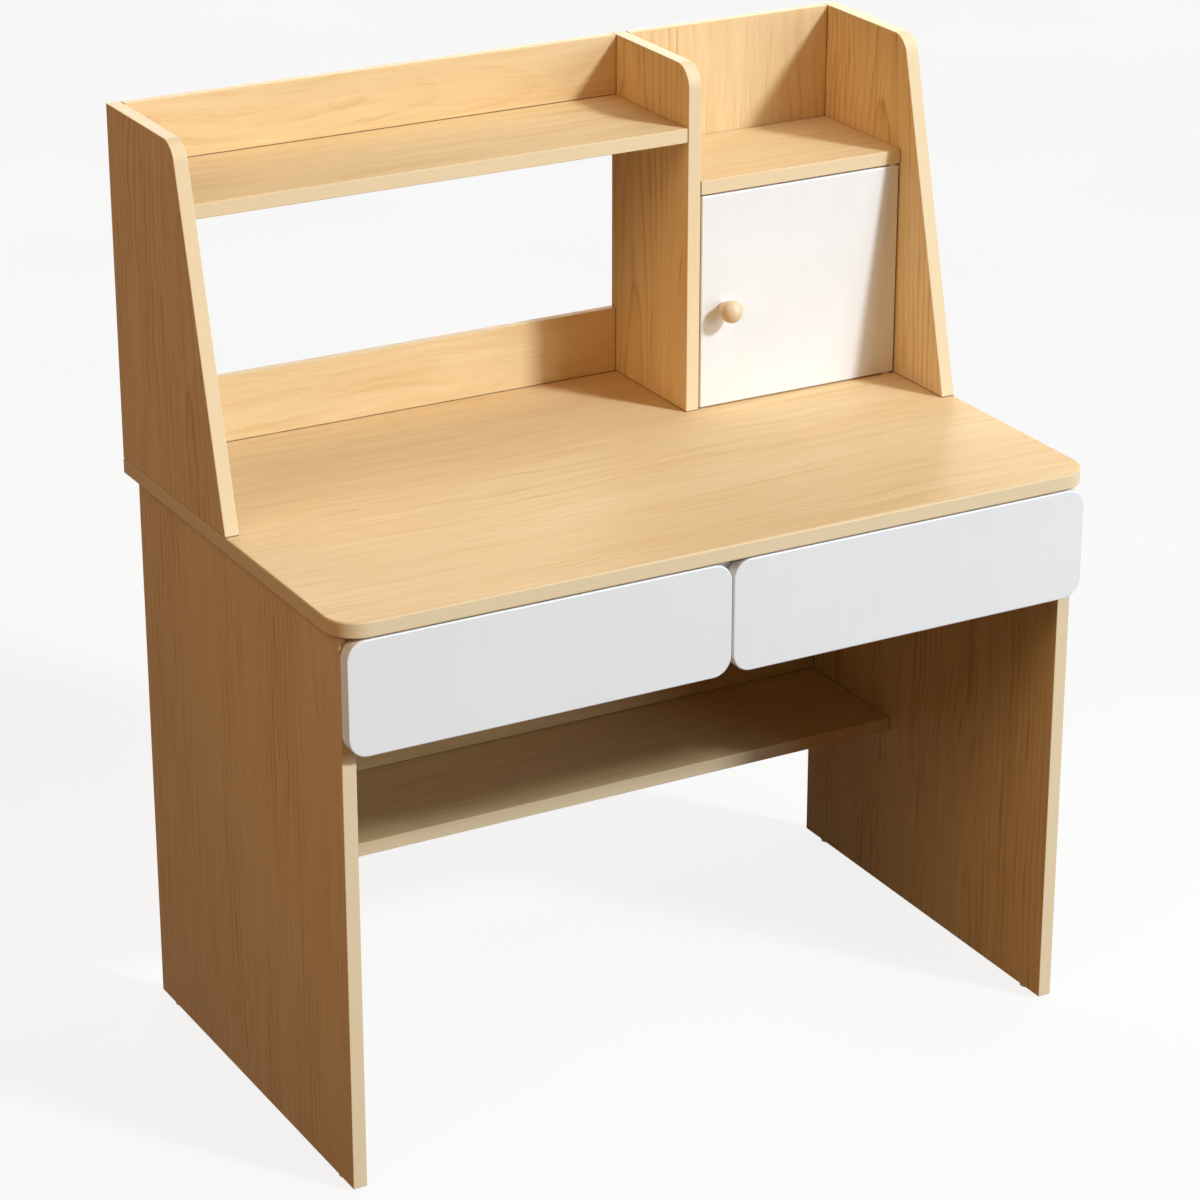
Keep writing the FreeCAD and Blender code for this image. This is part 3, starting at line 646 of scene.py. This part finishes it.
class StageLook(bpy.types.PropertyGroup):
    """The floor, the lamps and the view."""

    floor: colour_field("Floor", "Colour of the floor in the picture", (0.985, 0.984, 0.982))
    bounce: colour_field("Bounce", "Colour that the floor throws back on the desk", (0.125, 0.052, 0.014))
    fill: colour_field("Fill", "Colour and strength of the light from all round", (0.066, 0.034, 0.013))
    glow: share_field("Glow", "Share of the floor's paleness that needs no lamp", 0.88)
    key_strength: number_field("Key lamp", "Strength of the main lamp", 2.85)
    key_colour: colour_field("Key colour", "Colour of the main lamp and the near lamp", (0.83, 0.924, 1.0))
    key_spread: angle_field("Key spread", "How wide the main lamp looks from the desk", 7.0)
    near_power: power_field("Near lamp", "Power of the lamp near the right front", 49.5)
    near_width: length_field("Near width", "Width of the lamp near the right front", 1.8)
    top_power: power_field("Top lamp", "Power of the lamp above the desk", 6.6)
    top_colour: colour_field("Top colour", "Colour of the lamp above the desk", (1.0, 1.0, 1.0))
    top_width: length_field("Top width", "Width of the lamp above the desk", 1.2)
    side_power: power_field("Side lamp", "Power of the warm lamp on the left", 63.0)
    side_colour: colour_field("Side colour", "Colour of the warm lamp on the left", (1.0, 0.65, 0.35))
    side_width: length_field("Side width", "Width of the warm lamp on the left", 2.4)
    back_strength: number_field("Back lamp", "Strength of the low lamp behind the desk", 2.0)
    back_colour: colour_field("Back colour", "Colour of the low lamp behind the desk", (1.0, 0.90, 0.78))
    back_spread: angle_field("Back spread", "How wide the back lamp looks from the desk", 30.0)
    lens: bpy.props.FloatProperty(
        name="Lens", description="Focal length of the camera", subtype="DISTANCE_CAMERA", default=117.73)
    pitch: angle_field("Pitch", "How far the camera looks down", 22.648)
    yaw: angle_field("Yaw", "How far the camera looks to its right", 29.034)
    eye: bpy.props.FloatVectorProperty(
        name="Eye", description="Place of the camera", subtype="XYZ", size=3, unit="LENGTH",
        default=(-2.1487, -3.8541, 2.3836))


class DeskSettings(bpy.types.PropertyGroup):
    """All that can be set on the desk's looks."""

    oak: bpy.props.PointerProperty(type=OakLook, name="Oak", description="The woodgrain boards")
    lacquer: bpy.props.PointerProperty(type=LacquerLook, name="Lacquer", description="The white fronts")
    fitting: bpy.props.PointerProperty(type=FittingLook, name="Fittings", description="Metals and plastics")
    screw: bpy.props.PointerProperty(type=ScrewSizes, name="Screws", description="Screws and dowels")
    stage: bpy.props.PointerProperty(type=StageLook, name="Stage", description="Floor, lamps and view")


def settings():
    return bpy.context.scene.desk_settings


def joints_of(node, boards):
    """Where a board's ends meet other boards: the axis and the level of each such end."""
    low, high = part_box(node)
    boxes = [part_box(other) for other in boards if other != node]
    thin = min(range(3), key=lambda axis: high[axis] - low[axis])
    joints = []
    for axis in range(3):
        if axis == thin:
            continue
        rest = [index for index in range(3) if index != axis]
        for level, side in ((low[axis], 1), (high[axis], 0)):
            if any(abs(box[side][axis] - level) < TOUCH
                   and all(box[0][index] < high[index] - TOUCH and box[1][index] > low[index] + TOUCH
                           for index in rest) for box in boxes):
                joints.append((axis, level))
    return joints


def oak_print(finish, look, number, spot, width, figure):
    """The print on one board's faces: its tone, and the fibres, pores and redder clouds in it.

    The spot is the place along the board, across it and through it, from its middle.
    """
    along, across, depth = spot
    cut = PRINT_STEP * number
    flat_place = finish.vector(along + cut, across + cut, depth * DEPTH_STRETCH + cut)
    wander, wave, ripple = (finish.swing(flat_place, OAK[name]) for name in ("wander", "wave", "ripple"))
    bent = across + wander * OAK["wander"].bends + wave * OAK["wave"].bends + ripple * OAK["ripple"].bends
    print_place = finish.vector(along + cut, bent + cut, depth * DEPTH_STRETCH + cut)
    shades = {name: finish.swing(print_place, OAK[name]) for name in ("flame", "streak", "fibre", "drift")}
    shades["pore"] = finish.mask(print_place, OAK["pore"])
    cluster, lines, hairs = (finish.mask(print_place, OAK[name]) for name in ("cluster", "lines", "hairs"))
    shown, blush = (finish.mask(flat_place, OAK[name]) for name in ("shown", "blush"))
    sideways = bent - width * PITH_SWAY * math.sin(PITH_TURN * number)
    upwards = along * PITH_SLOPE + wander * PITH_WANDER + PITH_DEPTH
    rings = distance(sideways, upwards) / look.ring_pitch + wave * RING_WAVER
    ring = finish.curve(rings.fraction(), RING_CURVE) * shown
    strands = lines * (OAK["lines"].tone * figure) + hairs * (OAK["hairs"].tone * figure)
    ground = total(shade * OAK[name].tone for name, shade in shades.items())
    tone = FACE_TONE + ground + ring * (RING_TONE * figure) + strands * cluster
    return tone, shades["fibre"], shades["pore"], blush


def oak_finish(node, look, number, joints):
    """Woodgrain laminate for one board: the print runs along its longest side, and its edges are banded."""
    low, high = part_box(node)
    sides = high - low
    centre = (low + high) / 2
    thin, wide, long = sorted(range(3), key=lambda axis: sides[axis])
    figure = look.upright_figure if long == AXES.index("Z") else look.level_figure
    finish = new_finish("oak_" + node)
    place = finish.place()
    levels = finish.parts(place)
    spot = [levels[axis] - centre[axis] for axis in (long, wide, thin)]
    facing = abs(finish.parts(finish.node("ShaderNodeTexCoord", output="Normal"))[thin])
    on_face = finish.step(facing, FACE_RISE)
    seam = finish.step(facing, SEAM_RISE)

    tone, fibre, pore, blush = oak_print(finish, look, number, spot, sides[wide], figure)
    printed = finish.ramp(tone, FACE_STOPS, (look.pale, look.main, look.streak, look.pore))
    face_colour = finish.blend(blush * OAK["blush"].tone, printed, opaque(look.blush))
    cut = (PRINT_STEP * number,) * 3
    band_place = finish.node("ShaderNodeVectorMath", {"operation": "ADD"}, {0: place, 1: cut})
    band_tone = BAND_TONE + finish.swing(band_place, OAK["band"], thin) * OAK["band"].tone + seam * SEAM_TONE
    band_colour = finish.ramp(band_tone, BAND_STOPS, (look.band, look.band_streak))
    colour = finish.blend(on_face, band_colour, face_colour)
    # Painted contact shadow and dirt: a dark line along each end of the board that meets another board
    for axis, level in joints:
        edges = (look.joint_width, look.joint_width * JOINT_SHADE_CORE)
        line = finish.step(abs(levels[axis] - level), edges)
        colour = finish.blend(line * JOINT_SHADE_TONE, colour, opaque(look.joint))
    roughness = look.roughness + fibre * OAK["fibre"].dulls + pore * OAK["pore"].dulls
    relief = (fibre * OAK["fibre"].raises + pore * OAK["pore"].raises) * on_face
    return finish.surface(colour, roughness, relief, look.relief, {"Specular IOR Level": look.gloss})


def beech_finish(name, look, place, axis, pith):
    """Clear-finished beech whose rings run round a pith line along one axis."""
    finish = new_finish(name)
    where = finish.node(*place)
    levels = finish.parts(where)
    fibre = finish.swing(where, BEECH_FIBRE, axis)
    aside, upward = (levels[index] - pith[index] for index in range(3) if index != axis)
    rings = distance(aside, upward) / look.beech_pitch + fibre * BEECH_WAVER
    ring = finish.curve(rings.fraction(), BEECH_CURVE)
    tone = ring * BEECH_RING_TONE + fibre * BEECH_FIBRE.tone + BEECH_TONE
    colour = finish.ramp(tone, (0.0, 1.0), (look.beech, look.beech_ring))
    roughness = BEECH_ROUGHNESS + fibre * BEECH_FIBRE.dulls
    return finish.surface(colour, roughness, fibre, BEECH_RELIEF, {})


def coat_finish(name, coat, axis, full, shade=None):
    """A plain finish with its grain along one axis. Its noises shade, dull and raise it by their shares."""
    finish = new_finish(name)
    place = finish.place()
    noises = [(finish.noise(place, layer, axis), layer) for layer in coat.layers]
    tone = total(noise * layer.tone for noise, layer in noises if layer.tone)
    dulled = total((noise - 0.5) * layer.dulls for noise, layer in noises if layer.dulls)
    raised = total(noise * layer.raises for noise, layer in noises if layer.raises)
    colour = finish.ramp(tone, coat.stops, (shade or dimmed(full, coat.dim), full))
    return finish.surface(colour, coat.roughness + dulled, raised, coat.relief, {"Metallic": coat.metallic})


def lacquer_finish(name, look):
    """Satin white lacquer with a fine spray texture, over a faint upright grain."""
    coat = LACQUER._replace(roughness=look.roughness, relief=look.relief)
    return coat_finish(name, coat, AXES.index("Z"), look.white, tuple(look.shade))


def steel_finish(name, full, axis):
    """Bright metal with fine drawing lines along one axis and cloudy plating."""
    return coat_finish(name, STEEL._replace(roughness=METAL_ROUGHNESS[name]), axis, full)


def field_values(group):
    """A property group's numbers by the names that they show."""
    fields = group.bl_rna.properties
    return {field.name: getattr(group, field.identifier) for field in fields if field.type == "FLOAT"}


def screw_recipe():
    """A pan-head screw with a cross recess, a thread and a point. Its seat is at height 0."""
    names = ("Head Radius", "Head Height", "Shank Radius", "Shank Length", "Thread Pitch", "Thread Depth",
             "Point Length", "Recess Width", "Recess Span", "Recess Depth")
    recipe = Recipe("cross_head_screw", names)
    size = recipe.size
    shank_rings = (size["Shank Length"] / size["Thread Pitch"] * RINGS_PER_TURN).rounded()

    def profile(ring, turn):
        fall = (ring / HEAD_RINGS).least(1.0) * (WHOLE_TURN / 4)
        reach = ((ring - (HEAD_RINGS + 1)) / shank_rings).most(0.0) * size["Shank Length"]
        ridge = ((reach / size["Thread Pitch"] - turn) * WHOLE_TURN).cosine() * 0.5 + 0.5
        crest = size["Shank Radius"] - size["Thread Depth"] * (1 - ridge * ridge)
        taper = ((size["Shank Length"] - reach) / size["Point Length"]).least(1.0)
        in_shank = ring > HEAD_RINGS + 0.5
        radius = in_shank * crest * taper + (1 - in_shank) * size["Head Radius"] * fall.sine()
        height = (1 - in_shank) * size["Head Height"] * fall.cosine().root() - in_shank * reach
        return radius, height

    body = recipe.rolled(shank_rings + (HEAD_RINGS + 1), SCREW_SIDES, profile)
    lift = recipe.vector(0.0, 0.0, size["Head Height"])
    arms = []
    for first, second in (("Recess Span", "Recess Width"), ("Recess Width", "Recess Span")):
        block = recipe.vector(size[first], size[second], size["Recess Depth"] * 2)
        arm = recipe.node("GeometryNodeMeshCube", inputs={"Size": block})
        arms.append(recipe.node("GeometryNodeTransform", inputs={"Geometry": arm, "Translation": lift}))
    solids = {"Mesh 1": body, "Mesh 2": arms, "Self Intersection": True}
    crossed = recipe.node("GeometryNodeMeshBoolean", {"operation": "DIFFERENCE", "solver": "EXACT"}, solids)
    return recipe.planted(crossed, SCREW_SEED)


def dowel_recipe():
    """A fluted dowel with bevelled ends. Its middle is at height 0."""
    recipe = Recipe("fluted_dowel", ("Radius", "Length", "Chamfer", "Flute Depth", "Flutes"))
    size = recipe.size

    def profile(ring, turn):
        middle = ring - DOWEL_RINGS / 2
        level = DOWEL_RINGS / 2 - abs(middle)
        on_side = (level - 1.0).most(0.0)
        flute = (turn * size["Flutes"] * WHOLE_TURN).cosine() * 0.5 + 0.5
        bevelled = (size["Radius"] - size["Chamfer"]) * level.least(1.0)
        radius = bevelled + on_side * (size["Chamfer"] - size["Flute Depth"] * flute)
        height = (size["Length"] / 2 - on_side * size["Chamfer"]) * middle.sign() * -1.0
        return radius, height

    body = recipe.rolled(DOWEL_RINGS, size["Flutes"] * SIDES_PER_FLUTE, profile)
    grain = {"Geometry": body, "Name": GRAIN_PLACE, "Value": recipe.node("GeometryNodeInputPosition")}
    grained = recipe.node("GeometryNodeStoreNamedAttribute", {"data_type": "FLOAT_VECTOR"}, grain)
    return recipe.planted(grained, DOWEL_SEED)


class DESK_OT_oak_boards(bpy.types.Operator):
    """Give every woodgrain board its own stretch of the printed oak"""

    bl_idname = "desk.oak_boards"
    bl_label = "Oak boards"

    def execute(self, context):
        look = settings().oak
        boards = slot_nodes("oak_laminate")
        for number, node in enumerate(boards, start=1):
            dress(node, oak_finish(node, look, number, joints_of(node, boards)))
        return {"FINISHED"}


class DESK_OT_white_fronts(bpy.types.Operator):
    """Lacquer the door, the drawer fronts and the partition between the drawers"""

    bl_idname = "desk.white_fronts"
    bl_label = "White fronts"

    def execute(self, context):
        dress_slot("white_lacquer", lacquer_finish("white_lacquer", settings().lacquer))
        return {"FINISHED"}


class DESK_OT_door_knob(bpy.types.Operator):
    """Finish the turned beech knob, with its grain along its axis"""

    bl_idname = "desk.door_knob"
    bl_label = "Door knob"

    def execute(self, context):
        for node in slot_nodes("turned_beech"):
            low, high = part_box(node)
            pith = (low + high) / 2 + KNOB_PITH
            dress(node, beech_finish("turned_beech", settings().fitting, OBJECT_PLACE, AXES.index("Y"), pith))
        return {"FINISHED"}


class DESK_OT_drawer_boxes(bpy.types.Operator):
    """Face the drawer sides, backs and bottoms"""

    bl_idname = "desk.drawer_boxes"
    bl_label = "Drawer boxes"

    def execute(self, context):
        look = settings().fitting
        side = coat_finish("drawer_side_melamine", BOARD, AXES.index("Y"), look.melamine)
        back = coat_finish("drawer_back_melamine", BOARD, AXES.index("X"), look.melamine)
        for node in slot_nodes("drawer_board"):
            dress(node, back if node.endswith("_back") else side)
        dress_slot("hardboard", coat_finish("drawer_hardboard", BOARD, AXES.index("X"), look.hardboard))
        return {"FINISHED"}


class DESK_OT_drawer_slides(bpy.types.Operator):
    """Plate the telescopic slides and their ball cages"""

    bl_idname = "desk.drawer_slides"
    bl_label = "Drawer slides"

    def execute(self, context):
        dress_slot("slide_steel", steel_finish("slide_steel", settings().fitting.slide, AXES.index("Y")))
        return {"FINISHED"}


class DESK_OT_door_fittings(bpy.types.Operator):
    """Finish the cam fittings, the pivot pins, the catch, the bushes and the glides"""

    bl_idname = "desk.door_fittings"
    bl_label = "Fittings"

    def execute(self, context):
        look = settings().fitting
        upright = AXES.index("Z")
        dress_slot("zinc_alloy", steel_finish("cast_zinc", look.cast, upright))
        dress_slot("plated_steel", steel_finish("plated_steel", look.plated, upright))
        dress_slot("nylon", coat_finish("nylon", NYLON, upright, look.nylon))
        return {"FINISHED"}


class DESK_OT_screws(bpy.types.Operator):
    """Grow threaded cross-head screws in place of the frame's plain ones"""

    bl_idname = "desk.screws"
    bl_label = "Screws"

    def execute(self, context):
        recipe = screw_recipe()
        plate = steel_finish("screw_plate", settings().fitting.plated, AXES.index("Z"))
        for node in slot_nodes("plated_steel"):
            if "screw" not in node:
                continue
            places, ways, sizes = zip(*(read_screw(corners) for corners in solids_of(node)))
            values = {"Finish": plate, **field_values(settings().screw), **sizes[0]}
            stand_in(node, recipe.grow(node + "_threaded", places, ways, values))
        return {"FINISHED"}


class DESK_OT_dowels(bpy.types.Operator):
    """Grow fluted dowels in place of the frame's plain ones"""

    bl_idname = "desk.dowels"
    bl_label = "Dowels"

    def execute(self, context):
        recipe = dowel_recipe()
        look = settings().fitting
        beech = beech_finish("dowel_beech", look, GRAIN_ATTRIBUTE, AXES.index("Z"), DOWEL_PITH)
        for node in slot_nodes("dowel_beech"):
            axes, places, heights, radii = zip(*(read_rod(corners) for corners in solids_of(node)))
            ways = [np.eye(3)[axis] for axis in axes]
            sizes = {"Length": float(2 * heights[0].max()), "Radius": float(radii[0].max())}
            values = {"Finish": beech, **field_values(settings().screw), **sizes}
            stand_in(node, recipe.grow(node + "_fluted", places, ways, values))
        return {"FINISHED"}


def make_floor(look):
    """A pale floor, which throws back a duller and warmer colour than it shows."""
    mesh = bpy.data.meshes.new("floor")
    shape = bmesh.new()
    bmesh.ops.create_circle(shape, cap_ends=True, segments=FLOOR_SIDES, radius=FLOOR_RADIUS)
    bmesh.ops.translate(shape, verts=shape.verts, vec=(0.0, 0.0, -FLOOR_DROP))
    shape.to_mesh(mesh)
    shape.free()
    floor = bpy.data.objects.new("floor", mesh)
    bpy.context.scene.collection.objects.link(floor)
    finish = new_finish("floor")
    cloud = finish.noise(finish.place(), FLOOR_CLOUD)
    colour = finish.ramp(cloud, FLOOR_STOPS, (dimmed(look.floor, FLOOR_DIM), look.floor))
    lit = finish.node("ShaderNodeBsdfDiffuse", inputs={"Color": colour})
    glowing = finish.node("ShaderNodeEmission", inputs={"Color": colour, "Strength": 1.0})
    shown = finish.node("ShaderNodeMixShader", inputs={0: look.glow, 1: lit, 2: glowing})
    thrown = finish.node("ShaderNodeBsdfDiffuse", inputs={"Color": opaque(look.bounce)})
    mixed = finish.node("ShaderNodeMixShader", inputs={0: finish.seen(), 1: thrown, 2: shown})
    finish.node("ShaderNodeOutputMaterial", inputs={"Surface": mixed})
    mesh.materials.append(finish.owner)


def make_world(look):
    """An even pale surround that lights the desk only a little."""
    finish = Finish(bpy.data.worlds.new("surround"))
    shown = finish.node("ShaderNodeBackground", inputs={"Color": opaque(look.floor), "Strength": 1.0})
    thrown = finish.node("ShaderNodeBackground", inputs={"Color": opaque(look.fill), "Strength": 1.0})
    mixed = finish.node("ShaderNodeMixShader", inputs={0: finish.seen(), 1: thrown, 2: shown})
    finish.node("ShaderNodeOutputWorld", inputs={"Surface": mixed})
    bpy.context.scene.world = finish.owner


def make_lamp(name, kind, place, power, colour, width):
    """A lamp that points at the desk's middle and isn't seen by the camera. A sun's width is an angle."""
    lamp = bpy.data.lights.new(name, kind)
    lamp.energy = power
    lamp.color = colour
    setattr(lamp, LAMP_WIDTH[kind], width)
    holder = bpy.data.objects.new(name, lamp)
    holder.location = place
    holder.rotation_euler = (DESK_MIDDLE - Vector(place)).to_track_quat("-Z", "Y").to_euler()
    holder.visible_camera = False
    bpy.context.scene.collection.objects.link(holder)


def make_camera(look):
    """The camera at the photograph's place and angle."""
    lens = bpy.data.cameras.new("camera")
    lens.lens = look.lens
    lens.sensor_width = SENSOR_WIDTH
    camera = bpy.data.objects.new("camera", lens)
    camera.location = look.eye
    camera.rotation_euler = (math.pi / 2 - look.pitch, 0.0, -look.yaw)
    bpy.context.scene.collection.objects.link(camera)
    bpy.context.scene.camera = camera


class DESK_OT_stage(bpy.types.Operator):
    """Lay the floor, hang the lamps and set the camera"""

    bl_idname = "desk.stage"
    bl_label = "Stage"

    def execute(self, context):
        look = settings().stage
        make_floor(look)
        make_world(look)
        make_lamp("key_lamp", "SUN", KEY_PLACE, look.key_strength, look.key_colour, look.key_spread)
        make_lamp("near_lamp", "AREA", NEAR_PLACE, look.near_power, look.key_colour, look.near_width)
        make_lamp("top_lamp", "AREA", TOP_PLACE, look.top_power, look.top_colour, look.top_width)
        make_lamp("side_lamp", "AREA", SIDE_PLACE, look.side_power, look.side_colour, look.side_width)
        make_lamp("back_lamp", "SUN", BACK_PLACE, look.back_strength, look.back_colour, look.back_spread)
        make_camera(look)
        bpy.context.scene.view_settings.view_transform = "Standard"
        return {"FINISHED"}


OPERATORS = (
    DESK_OT_oak_boards, DESK_OT_white_fronts, DESK_OT_door_knob, DESK_OT_drawer_boxes,
    DESK_OT_drawer_slides, DESK_OT_door_fittings, DESK_OT_screws, DESK_OT_dowels, DESK_OT_stage)


class DESK_PT_looks(bpy.types.Panel):
    """The desk's operators and settings"""

    bl_idname = "DESK_PT_looks"
    bl_label = "Student desk"
    bl_space_type = "VIEW_3D"
    bl_region_type = "UI"
    bl_category = "Desk"

    def draw(self, context):
        for operator in OPERATORS:
            self.layout.operator(operator.bl_idname)
        for group in DeskSettings.bl_rna.properties:
            if group.type != "POINTER" or group.identifier == "rna_type":
                continue
            box = self.layout.box()
            box.label(text=group.name)
            looks = getattr(context.scene.desk_settings, group.identifier)
            for field in looks.bl_rna.properties:
                if field.identifier not in ("rna_type", "name"):
                    box.prop(looks, field.identifier)


CLASSES = (OakLook, LacquerLook, FittingLook, ScrewSizes, StageLook, DeskSettings, *OPERATORS, DESK_PT_looks)


def register():
    for item in CLASSES:
        bpy.utils.register_class(item)
    bpy.types.Scene.desk_settings = bpy.props.PointerProperty(type=DeskSettings)


def unregister():
    del bpy.types.Scene.desk_settings
    for item in reversed(CLASSES):
        bpy.utils.unregister_class(item)


def main():
    register()
    bpy.ops.desk.oak_boards()
    bpy.ops.desk.white_fronts()
    bpy.ops.desk.door_knob()
    bpy.ops.desk.drawer_boxes()
    bpy.ops.desk.drawer_slides()
    bpy.ops.desk.door_fittings()
    bpy.ops.desk.screws()
    bpy.ops.desk.dowels()
    bpy.ops.desk.stage()
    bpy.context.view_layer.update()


if __name__ == "__main__":
    main()
